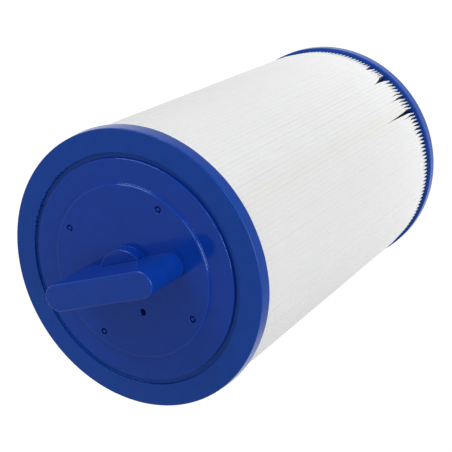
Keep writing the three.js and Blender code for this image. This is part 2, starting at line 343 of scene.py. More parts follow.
class Nodes:
    """A short way to lay out a material's nodes."""

    def __init__(self, name):
        self.material = bpy.data.materials.new(name)
        self.material.use_nodes = True
        self.tree = self.material.node_tree
        self.tree.nodes.clear()
        self.shader = self.add("ShaderNodeBsdfPrincipled")
        output = self.add("ShaderNodeOutputMaterial")
        self.link(self.shader, "BSDF", output, "Surface")
        self.coordinates = self.add("ShaderNodeTexCoord")

    def add(self, kind, **settings):
        """A new node of a kind, with its settings."""
        node = self.tree.nodes.new(kind)
        for key, value in settings.items():
            setattr(node, key, value)
        return node

    def link(self, source, output, target, socket):
        """Joins one node's output to another's input."""
        self.tree.links.new(source.outputs[output], target.inputs[socket])

    def noise(self, scale, detail=3.0, roughness=0.55, stretch=None, distortion=0.0):
        """Noise in the piece's own coordinates, which stretch may scale along each axis."""
        node = self.add("ShaderNodeTexNoise")
        node.inputs["Scale"].default_value = scale
        node.inputs["Detail"].default_value = detail
        node.inputs["Roughness"].default_value = roughness
        node.inputs["Distortion"].default_value = distortion
        self.link_coordinates(node, stretch)
        return node

    def link_coordinates(self, node, stretch=None):
        """Gives a texture the piece's own coordinates."""
        if stretch is None:
            self.link(self.coordinates, "Object", node, "Vector")
            return
        mapping = self.add("ShaderNodeMapping")
        mapping.inputs["Scale"].default_value = stretch
        self.link(self.coordinates, "Object", mapping, "Vector")
        self.link(mapping, "Vector", node, "Vector")

    def ramp(self, source, output, stops):
        """Turns a value into a colour through (position, colour) stops."""
        node = self.add("ShaderNodeValToRGB")
        elements = node.color_ramp.elements
        elements[0].position, elements[0].color = stops[0][0], (*stops[0][1], 1.0)
        elements[1].position, elements[1].color = stops[-1][0], (*stops[-1][1], 1.0)
        for position, colour in stops[1:-1]:
            elements.new(position).color = (*colour, 1.0)
        self.link(source, output, node, "Fac")
        return node

    def remap(self, source, output, low, high):
        """Spreads noise over the range from low to high."""
        node = self.add("ShaderNodeMapRange")
        node.inputs["From Min"].default_value = NOISE_LOW
        node.inputs["From Max"].default_value = NOISE_HIGH
        node.inputs["To Min"].default_value = low
        node.inputs["To Max"].default_value = high
        self.link(source, output, node, "Value")
        return node

    def bump(self, source, output, strength, distance, previous=None):
        """Raises the surface by a height, on top of a previous bump."""
        node = self.add("ShaderNodeBump")
        node.inputs["Strength"].default_value = strength
        node.inputs["Distance"].default_value = distance
        self.link(source, output, node, "Height")
        if previous is not None:
            self.link(previous, "Normal", node, "Normal")
        return node


def scaled(colour, factor):
    """The colour made lighter or darker by a factor."""
    return tuple(channel * factor for channel in colour)


def blue_plastic(name, colour, roughness, waviness, grain, specular):
    """Satin moulded plastic: a faint mottle, uneven gloss, slow sinks and a fine tool texture."""
    nodes = Nodes(name)
    mottle = nodes.noise(140.0, detail=6.0, roughness=0.65)
    tint = nodes.ramp(
        mottle, "Fac",
        [(NOISE_LOW, scaled(colour, 0.93)), (0.5, colour), (NOISE_HIGH, scaled(colour, 1.08))],
    )
    nodes.link(tint, "Color", nodes.shader, "Base Color")
    gloss = nodes.noise(65.0, detail=4.0)
    varied = nodes.remap(gloss, "Fac", roughness - 0.035, roughness + 0.045)
    nodes.link(varied, "Result", nodes.shader, "Roughness")
    sinks = nodes.noise(38.0, detail=1.5, roughness=0.4)
    slow = nodes.bump(sinks, "Fac", waviness, 0.0006)
    texture = nodes.noise(2600.0, detail=2.0)
    fine = nodes.bump(texture, "Fac", grain, 0.00004, slow)
    nodes.link(fine, "Normal", nodes.shader, "Normal")
    nodes.shader.inputs["IOR"].default_value = PLASTIC_IOR
    nodes.shader.inputs["Specular IOR Level"].default_value = specular
    nodes.shader.inputs["Specular Tint"].default_value = PLASTIC_TINT
    return nodes.material


def media_material():
    """Spunbond polyester: fine laid fibres, pressed bond points, a warm trace at the seam and painted navy
    shade near the caps.
    """
    nodes = Nodes("spunbond_polyester")
    fibres = nodes.noise(1500.0, detail=5.0, roughness=0.7, stretch=(1.0, 1.0, 0.28), distortion=0.6)
    cloud = nodes.noise(55.0, detail=4.0)
    tint = nodes.ramp(
        cloud, "Fac",
        [(0.32, scaled(MEDIA_WHITE, 0.985)), (0.68, scaled(MEDIA_WHITE, 1.005))],
    )
    lay = nodes.ramp(fibres, "Fac", [(0.3, (0.94, 0.94, 0.94)), (0.62, (1.0, 1.0, 1.0))])
    fibre_colour = nodes.add("ShaderNodeMix", data_type="RGBA", blend_type="MULTIPLY")
    fibre_colour.inputs["Factor"].default_value = 1.0
    nodes.link(tint, "Color", fibre_colour, "A")
    nodes.link(lay, "Color", fibre_colour, "B")
    warm = nodes.add("ShaderNodeMix", data_type="RGBA", blend_type="MULTIPLY")
    warm.inputs["B"].default_value = SEAM_WARMTH
    nodes.link(fibre_colour, "Result", warm, "A")
    nodes.link(seam_trace(nodes), "Value", warm, "Factor")
    # Painted shade: a value on each point darkens the sheet towards navy in its folds near both caps and on
    # the tips' sides near the lower cap
    painted_shade = nodes.add("ShaderNodeAttribute", attribute_name="painted_shade")
    shaded = nodes.add("ShaderNodeMix", data_type="RGBA")
    shaded.inputs["B"].default_value = FOLD_SHADE_COLOUR
    nodes.link(painted_shade, "Fac", shaded, "Factor")
    nodes.link(warm, "Result", shaded, "A")
    nodes.link(shaded, "Result", nodes.shader, "Base Color")
    points = nodes.add("ShaderNodeTexVoronoi")
    points.inputs["Scale"].default_value = 900.0
    points.inputs["Randomness"].default_value = 0.35
    nodes.link_coordinates(points)
    dots = nodes.ramp(points, "Distance", [(0.12, (0.0, 0.0, 0.0)), (0.3, (1.0, 1.0, 1.0))])
    pressed = nodes.bump(dots, "Color", 0.25, 0.00003)
    laid = nodes.bump(fibres, "Fac", 0.4, 0.00004, pressed)
    nodes.link(laid, "Normal", nodes.shader, "Normal")
    nodes.shader.inputs["Roughness"].default_value = 0.88
    nodes.shader.inputs["Sheen Weight"].default_value = 0.15
    nodes.shader.inputs["Sheen Roughness"].default_value = 0.6
    nodes.shader.inputs["Specular IOR Level"].default_value = 0.3
    return nodes.material


def seam_trace(nodes):
    """One near the seam's direction round the axis, falling to nothing a few pleats away."""
    middle = math.radians(SEAM_ANGLE + TRACE_OFFSET)
    split = nodes.add("ShaderNodeSeparateXYZ")
    nodes.link(nodes.coordinates, "Object", split, "Vector")
    around = nodes.add("ShaderNodeMath", operation="ARCTAN2")
    nodes.link(split, "Y", around, 0)
    nodes.link(split, "X", around, 1)
    offset = nodes.add("ShaderNodeMath", operation="SUBTRACT")
    nodes.link(around, "Value", offset, 0)
    offset.inputs[1].default_value = middle
    away = nodes.add("ShaderNodeMath", operation="ABSOLUTE")
    nodes.link(offset, "Value", away, 0)
    fade = nodes.add("ShaderNodeMath", operation="MULTIPLY_ADD", use_clamp=True)
    nodes.link(away, "Value", fade, 0)
    fade.inputs[1].default_value = -1.0 / math.radians(TRACE_REACH)
    fade.inputs[2].default_value = 1.0
    return fade


def pale_plastic(name, colour, roughness):
    """Off-white plastic or set adhesive: a slight mottle and a rippled surface."""
    nodes = Nodes(name)
    mottle = nodes.noise(220.0, detail=5.0)
    tint = nodes.ramp(mottle, "Fac", [(NOISE_LOW, scaled(colour, 0.94)), (NOISE_HIGH, colour)])
    nodes.link(tint, "Color", nodes.shader, "Base Color")
    ripple = nodes.noise(400.0, detail=3.0)
    varied = nodes.remap(ripple, "Fac", roughness - 0.06, roughness + 0.06)
    nodes.link(varied, "Result", nodes.shader, "Roughness")
    rippled = nodes.bump(ripple, "Fac", 0.25, 0.0002)
    nodes.link(rippled, "Normal", nodes.shader, "Normal")
    return nodes.material


CAP_PLASTIC = blue_plastic(
    "cast_cap_blue", (0.002, 0.049, 0.342), roughness=0.24, waviness=0.08, grain=0.18, specular=0.42
)
# Painted light: the upper cap's blue made lighter, with weaker reflections, so that its colour stands in for
# the floor's light on the lower cap
LOWER_CAP_PAINTED_LIGHTER = blue_plastic(
    "cast_cap_blue_painted_lighter", (0.012, 0.062, 0.350), roughness=0.22, waviness=0.08, grain=0.18, specular=0.12
)
PLATE_PLASTIC = blue_plastic(
    "moulded_plate_blue", (0.002, 0.040, 0.350), roughness=0.11, waviness=0.05, grain=0.06, specular=0.5
)
GRIP_PLASTIC = blue_plastic(
    "moulded_grip_blue", (0.002, 0.042, 0.350), roughness=0.22, waviness=0.04, grain=0.10, specular=0.5
)
ADAPTOR_PLASTIC = blue_plastic(
    "moulded_adaptor_blue", (0.002, 0.042, 0.340), roughness=0.24, waviness=0.05, grain=0.12, specular=0.5
)
MEDIA = media_material()
SEAM_GLUE = pale_plastic("seam_adhesive", (0.78, 0.75, 0.62), roughness=0.45)
CORE_PLASTIC = pale_plastic("core_plastic", (0.76, 0.77, 0.78), roughness=0.42)


# ---------------------------------------------------------------- end caps


def rim_wave(angle, phase):
    """Slow unevenness of a cast edge, from -1 to 1."""
    slow = 0.55 * math.sin(4 * angle + phase) + 0.3 * math.sin(9 * angle + 2.1 * phase)
    return slow + 0.15 * math.sin(23 * angle + 0.7 * phase)


def end_cap(name, node, material, face, side, recess, flare, lip_round, phase):
    """Cast ring with a recess for its plate, a rounded face edge and a slightly wavy inner edge.

    face is the level of its outer face, and side is 1 where that face looks up, -1 where it looks down.
    recess lists the corners of the step that the plate sits in, from the bore to the face.
    The side wall flares out by flare towards its lip, which is rounded by lip_round.
    phase shifts the waves of that lip.
    """
    corners = [
        (CAP_BORE, -RECESS_DEPTH, 0),
        *recess,
        (CAP_RADIUS, 0, CAP_EDGE),
        (CAP_RADIUS + flare, -CAP_HEIGHT, lip_round),
        (CAP_RADIUS - CAP_LIP, -CAP_HEIGHT + POTTING_DROP, LIP_FOOT_ROUND),
        (CAP_BORE, -CAP_HEIGHT + POTTING_DROP, 0),
    ]

    def warp(radius, level, angle):
        if level < -CAP_HEIGHT / 2 and radius > CAP_RADIUS - LIP_WAVE_BAND:
            level += LIP_WAVE_HEIGHT * rim_wave(angle, phase)
            radius += LIP_WAVE_REACH * rim_wave(angle, phase + 2)
        return radius, face + side * level

    cap = revolve(name, rounded(corners, 7), CAP_SIDES, warp)
    return place(cap, material, node)


def casting_voids(cap):
    """Small bubbles left in the groove's outer wall, over a short stretch of it."""
    rng = np.random.default_rng(5)
    scatter = rng.uniform(-VOID_SCATTER, VOID_SCATTER, VOID_COUNT)
    tools = []
    for angle in np.radians(np.linspace(*VOID_ARC, VOID_COUNT) + scatter):
        bm = bmesh.new()
        bmesh.ops.create_icosphere(bm, subdivisions=2, radius=rng.uniform(*VOID_RADIUS) * MM)
        bmesh.ops.scale(bm, vec=(1.0, 1.0, VOID_STRETCH), verts=bm.verts)
        mesh = bpy.data.meshes.new("void")
        bm.to_mesh(mesh)
        bm.free()
        tool = bpy.data.objects.new("void", mesh)
        bpy.context.scene.collection.objects.link(tool)
        reach = TOP_RECESS_RADIUS + rng.uniform(*VOID_REACH)
        level = TOP_FACE - rng.uniform(*VOID_DEPTH)
        tools.append(shift(tool, reach * math.cos(angle), reach * math.sin(angle), level))
    combine(cap, tools, "DIFFERENCE")


def top_end_cap():
    """The groove round the plate is shallow, because the potting compound rises between plate and ring."""
    recess = [
        (PLATE_RADIUS + JOINT_GAP, -RECESS_DEPTH, 0),
        (PLATE_RADIUS + JOINT_GAP, -GROOVE_DEPTH, 0),
        (TOP_RECESS_RADIUS, -GROOVE_DEPTH, 0.5),
        (TOP_RECESS_RADIUS, 0, 0.35),
    ]
    cap = end_cap(
        "top_cap_ring", "top_end_cap", CAP_PLASTIC, TOP_FACE, 1, recess, TOP_FLARE, TOP_LIP_ROUND, phase=0.4
    )
    casting_voids(cap)
    even_shading(cap)


def bottom_end_cap():
    """The same ring turned over, with a recess that the adaptor's flange sits in."""
    recess = [(BOTTOM_RECESS_RADIUS, -RECESS_DEPTH, 0.35), (BOTTOM_RECESS_RADIUS, 0, 0.4)]
    # Its plastic is painted lighter, for the floor's light on this cap
    cap = end_cap(
        "bottom_cap_ring", "bottom_end_cap", LOWER_CAP_PAINTED_LIGHTER, BOTTOM_FACE, -1, recess,
        BOTTOM_FLARE, BOTTOM_LIP_ROUND, phase=1.9,
    )
    even_shading(cap)


# ---------------------------------------------------------------- closing plate


def dimple_tool(x, y):
    """Cuts a small round gate mark that leaves a nub in its middle."""
    corners = [
        (0, 1.0, 0),
        (DIMPLE_RADIUS + 0.5, 1.0, 0),
        (DIMPLE_RADIUS + 0.15, 0.05, 0),
        (DIMPLE_RADIUS, -0.15, 0),
        (DIMPLE_RADIUS - 0.05, -DIMPLE_DEPTH, 0),
        (NUB_RADIUS, -DIMPLE_DEPTH, 0),
        (NUB_RADIUS - 0.15, -0.22, 0.12),
        (0, -0.18, 0),
    ]
    tool = revolve("dimple_tool", rounded(corners, 3), 28)
    return shift(tool, x, y, TOP_FACE + PLATEAU_HEIGHT)


def vent_tool():
    """Cuts the vent hole with a softened edge."""
    corners = [
        (0, 1.0, 0),
        (VENT_RADIUS + 0.6, 1.0, 0),
        (VENT_RADIUS + 0.25, 0.05, 0),
        (VENT_RADIUS, -0.25, 0),
        (VENT_RADIUS, -VENT_CUT, 0),
        (0, -VENT_CUT, 0),
    ]
    tool = revolve("vent_tool", rounded(corners), 32)
    return shift(tool, 0, -VENT_OFFSET, TOP_FACE + PLATEAU_HEIGHT)


def pin_mark():
    """A tiny raised dot opposite the vent hole, left by the mould."""
    corners = [(0, -0.3, 0), (PIN_MARK_RADIUS, -0.3, 0), (PIN_MARK_RADIUS - 0.1, 0.18, 0.1), (0, 0.22, 0)]
    mark = revolve("pin_mark", rounded(corners, 3), 24)
    return shift(mark, 0, VENT_OFFSET, TOP_FACE + PLATEAU_HEIGHT)


def slot_tool():
    """Clears the boss where the grip bar passes through it, down to the plate's raised centre."""
    width = GRIP_WIDTH + GRIP_DRAFT + 2 * JOINT_GAP
    low = PLATEAU_HEIGHT + 0.02
    rings = []
    for level in (low, BOSS_HEIGHT + 1):
        x = BOSS_RADIUS + 1
        y = width / 2
        rings.append([(-x, -y, level), (x, -y, level), (x, y, level), (-x, y, level)])
    return shift(loft("slot_tool", rings), z=TOP_FACE)


def handle_plate():
    """Round plate with a spigot below, a raised centre, and a slotted boss round the grip's stem."""
    underside = -RECESS_DEPTH + SEAT_GAP
    ceiling = PLATEAU_HEIGHT - PLATE_WALL
    spigot_inner = SPIGOT_RADIUS - SPIGOT_WALL
    diagonal = DIMPLE_CIRCLE * math.sqrt(0.5)
    corners = [
        (0, ceiling, 0),
        (spigot_inner, ceiling, 0.8),
        (spigot_inner, underside - SPIGOT_REACH, 0.4),
        (SPIGOT_RADIUS, underside - SPIGOT_REACH, 0.6),
        (SPIGOT_RADIUS, underside, 0),
        (PLATE_RADIUS, underside, 0),
        (PLATE_RADIUS, PLATE_RIM, PLATE_EDGE),
        (PLATEAU_RADIUS + 0.3, PLATE_RIM, 0.35),
        (PLATEAU_RADIUS, PLATEAU_HEIGHT, PLATEAU_EDGE),
        (BOSS_RADIUS, PLATEAU_HEIGHT, 0.15),
        (BOSS_RADIUS, BOSS_HEIGHT, 0.6),
        (SOCKET_RADIUS, BOSS_HEIGHT, 0.3),
        (SOCKET_RADIUS, SOCKET_FLOOR, 0.3),
        (0, SOCKET_FLOOR, 0),
    ]
    outline = [(radius, TOP_FACE + level) for radius, level in rounded(corners, 6)]
    plate = revolve("closing_plate", outline, 240)
    tools = [dimple_tool(x * diagonal, y * diagonal) for x in (1, -1) for y in (1, -1)]
    combine(plate, [*tools, vent_tool(), slot_tool()], "DIFFERENCE")
    combine(plate, [pin_mark()], "UNION")
    even_shading(plate)
    place(plate, PLATE_PLASTIC, "handle_plate")


# ---------------------------------------------------------------- grip


def stadium(length, width, level, arc_steps=20):
    """Points round a bar with semicircular ends, at one level."""
    radius = width / 2
    straight = length / 2 - radius
    points = []
    for end, start in ((1, -90), (-1, 90)):
        for step in range(arc_steps + 1):
            angle = math.radians(start + 180 * step / arc_steps)
            points.append((end * straight + radius * math.cos(angle), radius * math.sin(angle), level))
    return points


def loft(name, rings, sharp_angle=32.0):
    """Closed solid through rings of equal length, with a flat face at each end."""
    size = len(rings[0])
    vertices = [point for ring in rings for point in ring]
    faces = [list(range(size))[::-1], [len(vertices) - size + index for index in range(size)]]
    for layer in range(len(rings) - 1):
        for index in range(size):
            onward = (index + 1) % size
            below = layer * size
            above = below + size
            faces.append([below + index, below + onward, above + onward, above + index])
    obj = mesh_object(name, vertices, faces, sharp_angle)
    outward(obj)
    smooth(obj.data, sharp_angle)
    return obj


def bar_rings(length, width, low, high, low_edge, high_edge, draft, steps=6):
    """Rings of a drafted bar whose lower and upper edges are rounded."""
    rings = []

    def ring(level, inset):
        growth = draft * (high - level) / (high - low)
        rings.append(stadium(length + 2 * growth - 2 * inset, width + growth - 2 * inset, level))

    for step in range(steps + 1):
        angle = math.pi / 2 * step / steps
        ring(low + low_edge * (1 - math.sin(angle)), low_edge * (1 - math.cos(angle)))
    rings.reverse()
    for step in range(steps + 1):
        angle = math.pi / 2 * step / steps
        ring(high - high_edge * (1 - math.sin(angle)), high_edge * (1 - math.cos(angle)))
    return rings


def grip_cavity(x):
    """One of the two pockets that core the bar out from beneath."""
    ceiling = GRIP_LOW + CAVITY_DEPTH
    levels = [(GRIP_LOW - 1, 0), (GRIP_LOW, 0), (ceiling - 1, CAVITY_DRAFT), (ceiling, 2 * CAVITY_DRAFT)]
    rings = [
        stadium(CAVITY_LENGTH - shrink, CAVITY_WIDTH - shrink, level, 12) for level, shrink in levels
    ]
    return shift(loft("grip_cavity", rings), x, 0, TOP_FACE)


def hand_grip():
    """Drafted bar with rounded ends, a stem in the plate's socket and two pockets beneath."""
    rings = bar_rings(
        GRIP_LENGTH, GRIP_WIDTH, GRIP_LOW, GRIP_TOP, GRIP_LOW_EDGE, GRIP_TOP_EDGE, GRIP_DRAFT
    )
    bar = shift(loft("grip_bar", rings), z=TOP_FACE)
    stem_low = SOCKET_FLOOR + STEM_CLEARANCE
    stem_high = GRIP_LOW + STEM_LAP
    stem_corners = [
        (0, stem_low, 0),
        (STEM_RADIUS, stem_low, 0.5),
        (STEM_RADIUS, stem_high, 0),
        (0, stem_high, 0),
    ]
    stem = revolve("grip_stem", rounded(stem_corners), 64)
    shift(stem, z=TOP_FACE)
    combine(bar, [stem], "UNION")
    combine(bar, [grip_cavity(CAVITY_OFFSET), grip_cavity(-CAVITY_OFFSET)], "DIFFERENCE")
    even_shading(bar)
    place(bar, GRIP_PLASTIC, "hand_grip")


# ---------------------------------------------------------------- pleated media

# Gaps that stand out near the lower cap: angle in degrees, width in degrees, length in mm, and lean,
# from 0 where the pleats on both sides make way for it to 1 where only those past it do
WIDE_GAPS = [(15, 2.7, 44.0, 0.0), (34, 4.2, 25.0, 0.8), (44, 2.6, 13.0, 0.6), (23, 1.9, 24.0, 0.0)]
# How much of a gap each pleat beside it gives up, from the nearest one outwards
SHARED_GAP = (0.17, 0.12, 0.09, 0.07, 0.05)
# The gap between two pleats away from the caps, in degrees, and how much more it may be
GAP_LEAST = 0.012
GAP_SPREAD = 0.016
# Ordinary gaps at the lower cap, in degrees and millimetres, and what is added around OPEN_MIDDLE
# and near it
GAP_WIDTH = 0.85
GAP_WIDTH_AROUND = 0.4
GAP_LENGTH = 3.6
GAP_LENGTH_NEAR = 12.0
GAP_LENGTH_AROUND = 3.5
# Ranges of the gaps at the upper cap
UPPER_WIDTHS = (0.02, 0.1)
UPPER_LENGTHS = (2.5, 5.0)
# The gaps are longest near OPEN_MIDDLE, and the pleats bulge most near LOOSE_MIDDLE, in degrees
OPEN_MIDDLE = 17.0
OPEN_SPREAD = 15.0
LOOSE_MIDDLE = 34.0
LOOSE_SPREAD = 16.0
# How far a tip stands out from its sides: everywhere, near LOOSE_MIDDLE and at the lower cap
BULGE_LEAST = 0.07
BULGE_LOOSE = 0.12
BULGE_PINCHED = 0.6
# Directions round a tip's curve where it has a point
TIP_TURNS = np.radians([-90.0, -56.0, -20.0, 20.0, 56.0, 90.0])
TIP_LEAST_HALF = 0.46
# Half widths of a fold at the support tube, on the sheet's outer and inner sides
FOLD_HALF = 0.05
FOLD_BACK_HALF = 0.36
# How much a tip's radius varies from pleat to pleat, and along one pleat with this wave length
TIP_SCATTER = 0.08
TIP_SWAY = 0.03
SWAY_LENGTH = 31.0
# Painted shade: how far it reaches from a cap, on the tips' sides and in the folds, and how dark it is there
EDGE_SHADE_CLIMB = 5.5
EDGE_SHADE = 0.9
FOLD_SHADE_CLIMB = 22.0
FOLD_SHADE_GRADIENT = 14.0


def lower_gap_sizes(rng):
    """Width in degrees, length in millimetres and lean of the gap after each pleat, at the lower cap."""
    middles = (np.arange(PLEATS) + 0.5) * PLEAT_PITCH
    away = (middles - OPEN_MIDDLE + 180) % 360 - 180
    near = np.exp(-((away / OPEN_SPREAD) ** 2))
    around = np.exp(-((away / (3 * OPEN_SPREAD)) ** 2))
    widths = (GAP_WIDTH + GAP_WIDTH_AROUND * around) * rng.uniform(0.9, 1.15, PLEATS)
    lengths = GAP_LENGTH + GAP_LENGTH_NEAR * near + GAP_LENGTH_AROUND * around
    lengths *= rng.uniform(0.7, 1.3, PLEATS)
    leans = np.zeros(PLEATS)
    for angle, width, length, lean in WIDE_GAPS:
        index = int(angle / PLEAT_PITCH)
        widths[index] = width
        lengths[index] = length
        leans[index] = lean
    return widths, lengths, leans


def upper_gap_sizes(rng):
    """The same three for the upper cap, which the pleats meet nearly closed."""
    return rng.uniform(*UPPER_WIDTHS, PLEATS), rng.uniform(*UPPER_LENGTHS, PLEATS), np.zeros(PLEATS)


def gap_at(sizes, distance):
    """Gap widths at a distance from the cap: wedges that close over their length."""
    widths, lengths, _ = sizes
    closing = np.clip(1.0 - distance / lengths, 0.0, 1.0)
    return widths * closing ** 1.25


def pinch_at(distance):
    """How far the tips are drawn in at a distance from a cap: 1 at the cap, 0 past PINCH_TO."""
    along = min(1.0, max(0.0, (distance - PINCH_FROM) / (PINCH_TO - PINCH_FROM)))
    return 1 - along * along * (3 - 2 * along)


def pleat_levels():
    """Distances from the folded sheet's lower edge, chosen close together where the pleats are pinched."""
    near = [0.0, 1.9, 2.7, 3.6, 4.6, 5.7, 7.0, 8.4, 10.0, 12.0, 14.5, 18.0, 22.5, 28.0, 35.0, 43.0, 53.0]
    far = [0.0, 1.9, 2.7, 3.8, 5.2, 7.0, 9.5, 13.0]
    middle = [80.0, 115.0, 150.0, 185.0, 210.0]
    span = MEDIA_HIGH - MEDIA_LOW
    return [*near, *middle, *[span - distance for distance in reversed(far)]]


def fold_layout(seats, lower_gaps, upper_gaps, from_low, from_high):
    """Width in degrees and centre in radians of each pleat at one level.

    A gap takes its width from the pleats beside it, and each pleat sits a little closer or looser by seats.
    """
    wedges = gap_at(lower_gaps, from_low)
    gaps = GAP_LEAST + GAP_SPREAD * seats + wedges + gap_at(upper_gaps, from_high)
    leaning = lower_gaps[2] * wedges
    borrowed = np.zeros(PLEATS)
    for step, share in enumerate(SHARED_GAP):
        borrowed += share * (np.roll(gaps - leaning, -step) + np.roll(gaps + leaning, step + 1))
    widths = PLEAT_PITCH - borrowed
    starts = np.concatenate([[0.0], np.cumsum(widths + gaps)[:-1]])
    drift = (widths + gaps).sum() - 360.0
    starts = starts - drift * np.arange(PLEATS) / PLEATS
    return widths, np.radians(starts + widths / 2 - PLEAT_PITCH / 2)


def tip_radii(character, centres, distance, from_low, from_high):
    """Radius of each pleat's tip at one level: drawn in near the caps, with a slight sway of its own."""
    slack = SLACK_MEAN + (1 - SLACK_MEAN) * np.cos(centres - math.radians(LOOSE_MIDDLE))
    pinch = slack * pinch_at(from_low) + UPPER_PINCH * pinch_at(from_high)
    sway = TIP_SWAY * np.sin(distance / SWAY_LENGTH + 6.3 * character["phase"])
    tips = MEDIA_RADIUS - (MEDIA_RADIUS - PINCH_RADIUS) * pinch
    return tips + TIP_SCATTER * (character["reach"] - 0.5) + sway


def painted_shade_at(from_low, from_high):
    """Painted shade on the 8 outer points of a pleat: none at 0, and full navy from 1 up."""
    edge = EDGE_SHADE * math.exp(-((from_low / EDGE_SHADE_CLIMB) ** 2))
    folds = FOLD_SHADE_GRADIENT * math.exp(-((min(from_low, from_high) / FOLD_SHADE_CLIMB) ** 2))
    return [edge, 0.25 * edge, 0.0, 0.0, 0.25 * edge, edge, folds, folds]


def pleat_ring(character, lower_gaps, upper_gaps, distance):
    """Outer and inner points of the folded sheet at one level, 8 of each to a pleat, and their painted
    shade.
    """
    embedded = CAP_HEIGHT + BOTTOM_FACE - MEDIA_LOW
    from_low = max(0.0, distance - embedded)
    from_high = max(0.0, MEDIA_HIGH - MEDIA_LOW - distance - embedded)
    widths, centres = fold_layout(character["seat"], lower_gaps, upper_gaps, from_low, from_high)
    tips = tip_radii(character, centres, distance, from_low, from_high)
    half = np.maximum(np.radians(widths) * tips / 2, TIP_LEAST_HALF)
    looseness = np.exp(-(((np.degrees(centres) - LOOSE_MIDDLE) / LOOSE_SPREAD) ** 2))
    bulge = BULGE_LEAST + BULGE_LOOSE * looseness + BULGE_PINCHED * pinch_at(from_low)
    outer = []
    inner = []
    for turn in TIP_TURNS:
        depth = bulge * (1 - math.cos(turn))
        outer.append((tips - depth, centres + half * math.sin(turn) / tips))
        thin = half - MEDIA_THICKNESS
        inner.append((tips - MEDIA_THICKNESS - depth * 0.8, centres + thin * math.sin(turn) / tips))
    fold = MEDIA_INNER + MEDIA_THICKNESS
    valleys = np.radians((np.arange(PLEATS) + 0.5) * PLEAT_PITCH)
    for side in (-1, 1):
        outer.append((np.full(PLEATS, fold), valleys + side * FOLD_HALF / fold))
        inner.append((np.full(PLEATS, MEDIA_INNER), valleys + side * FOLD_BACK_HALF / MEDIA_INNER))
    return ring_points(outer), ring_points(inner), np.tile(painted_shade_at(from_low, from_high), PLEATS)


def ring_points(columns):
    """Interleaves per-pleat columns of (radius, angle) into x, y points round the ring."""
    radii = np.stack([column[0] for column in columns], axis=1).ravel()
    angles = np.stack([column[1] for column in columns], axis=1).ravel()
    return np.stack([radii * np.cos(angles), radii * np.sin(angles)], axis=1)


def sheet_faces(size, layers):
    """Quads of the folded sheet: its two sides between layers of outer and inner rings, and both edges."""
    here = np.arange(size)
    onward = (here + 1) % size
    faces = []
    for layer in range(layers - 1):
        low = 2 * layer * size
        high = low + 2 * size
        faces.append(np.stack([low + here, low + onward, high + onward, high + here], axis=1))
        low += size
        high += size
        faces.append(np.stack([low + onward, low + here, high + here, high + onward], axis=1))
    last = 2 * (layers - 1) * size
    faces.append(np.stack([onward, here, size + here, size + onward], axis=1))
    faces.append(np.stack([last + here, last + onward, last + size + onward, last + size + here], axis=1))
    return np.vstack(faces)


def pleated_media():
    """One folded sheet round the support tube, with its own small differences from pleat to pleat."""
    rng = np.random.default_rng(7)
    character = {name: rng.random(PLEATS) for name in ("seat", "phase", "reach")}
    lower_gaps = lower_gap_sizes(rng)
    upper_gaps = upper_gap_sizes(rng)
    vertices = []
    painted_shade = []
    for distance in pleat_levels():
        outer, inner, shaded = pleat_ring(character, lower_gaps, upper_gaps, distance)
        for ring in (outer, inner):
            level = np.full((len(ring), 1), MEDIA_LOW + distance)
            vertices.append(np.hstack([ring, level]))
            painted_shade.append(shaded)
    faces = sheet_faces(len(vertices[0]), len(vertices) // 2)
    media = mesh_object("pleated_sheet", np.vstack(vertices).tolist(), faces.tolist(), 50.0)
    # Painted shade of each point, which darkens the sheet in its folds and on the tips' sides near the caps
    layer = media.data.attributes.new("painted_shade", "FLOAT", "POINT")
    layer.data.foreach_set("value", np.concatenate(painted_shade))
    place(media, MEDIA, "pleated_media")


def media_seam():
    """Ribbon of hot-melt adhesive in the valley where the sheet's two ends meet."""
    rng = np.random.default_rng(11)
    angle = math.radians(SEAM_ANGLE)
    vertices = []
    faces = []
    for step in range(SEAM_STEPS + 1):
        level = MEDIA_LOW + SEAM_INSET + (MEDIA_HIGH - MEDIA_LOW - 2 * SEAM_INSET) * step / SEAM_STEPS
        outer = SEAM_OUTER + 0.35 * rng.random() + 0.3 * math.sin(step * 0.7)
        half = SEAM_HALF_WIDTH + 0.05 * rng.random()
        section = [
            (SEAM_INNER, -half),
            (outer - 0.3, -half),
            (outer, 0.0),
            (outer - 0.3, half),
            (SEAM_INNER, half),
        ]
        for radius, across in section:
            vertices.append((
                radius * math.cos(angle) - across * math.sin(angle),
                radius * math.sin(angle) + across * math.cos(angle),
                level,
            ))
    size = len(section)
    for step in range(SEAM_STEPS):
        for index in range(size):
            onward = (index + 1) % size
            base = step * size
            faces.append([base + index, base + onward, base + size + onward, base + size + index])
    faces.append(list(range(size)))
    faces.append([SEAM_STEPS * size + index for index in range(size)])
    seam = mesh_object("seam_bead", vertices, faces, 60.0)
    outward(seam)
    place(seam, SEAM_GLUE, "media_seam")


# ---------------------------------------------------------------- core


def core_angles():
    """Directions of the tube's points: 2 faces to each stave, then 3 to each window."""
    column = 2 * math.pi / CORE_COLUMNS
    shares = [STAVE_SHARE * part for part in (0, 1 / 2, 1)]
    shares += [STAVE_SHARE + (1 - STAVE_SHARE) * part for part in (1 / 3, 2 / 3)]
    return [column * (number + share) for number in range(CORE_COLUMNS) for share in shares]


def core_levels(low, high):
    """Levels of the tube's points: its two ends, and the edges of each row of windows."""
    row_height = (high - low - 2 * CORE_BAND) / CORE_ROWS
    half_hoop = row_height * HOOP_SHARE / 2
    levels = [low, low + CORE_BAND - half_hoop]
    for row in range(CORE_ROWS):
        start = low + CORE_BAND + row * row_height
        levels += [start + half_hoop, start + row_height - half_hoop]
    return [*levels, high]


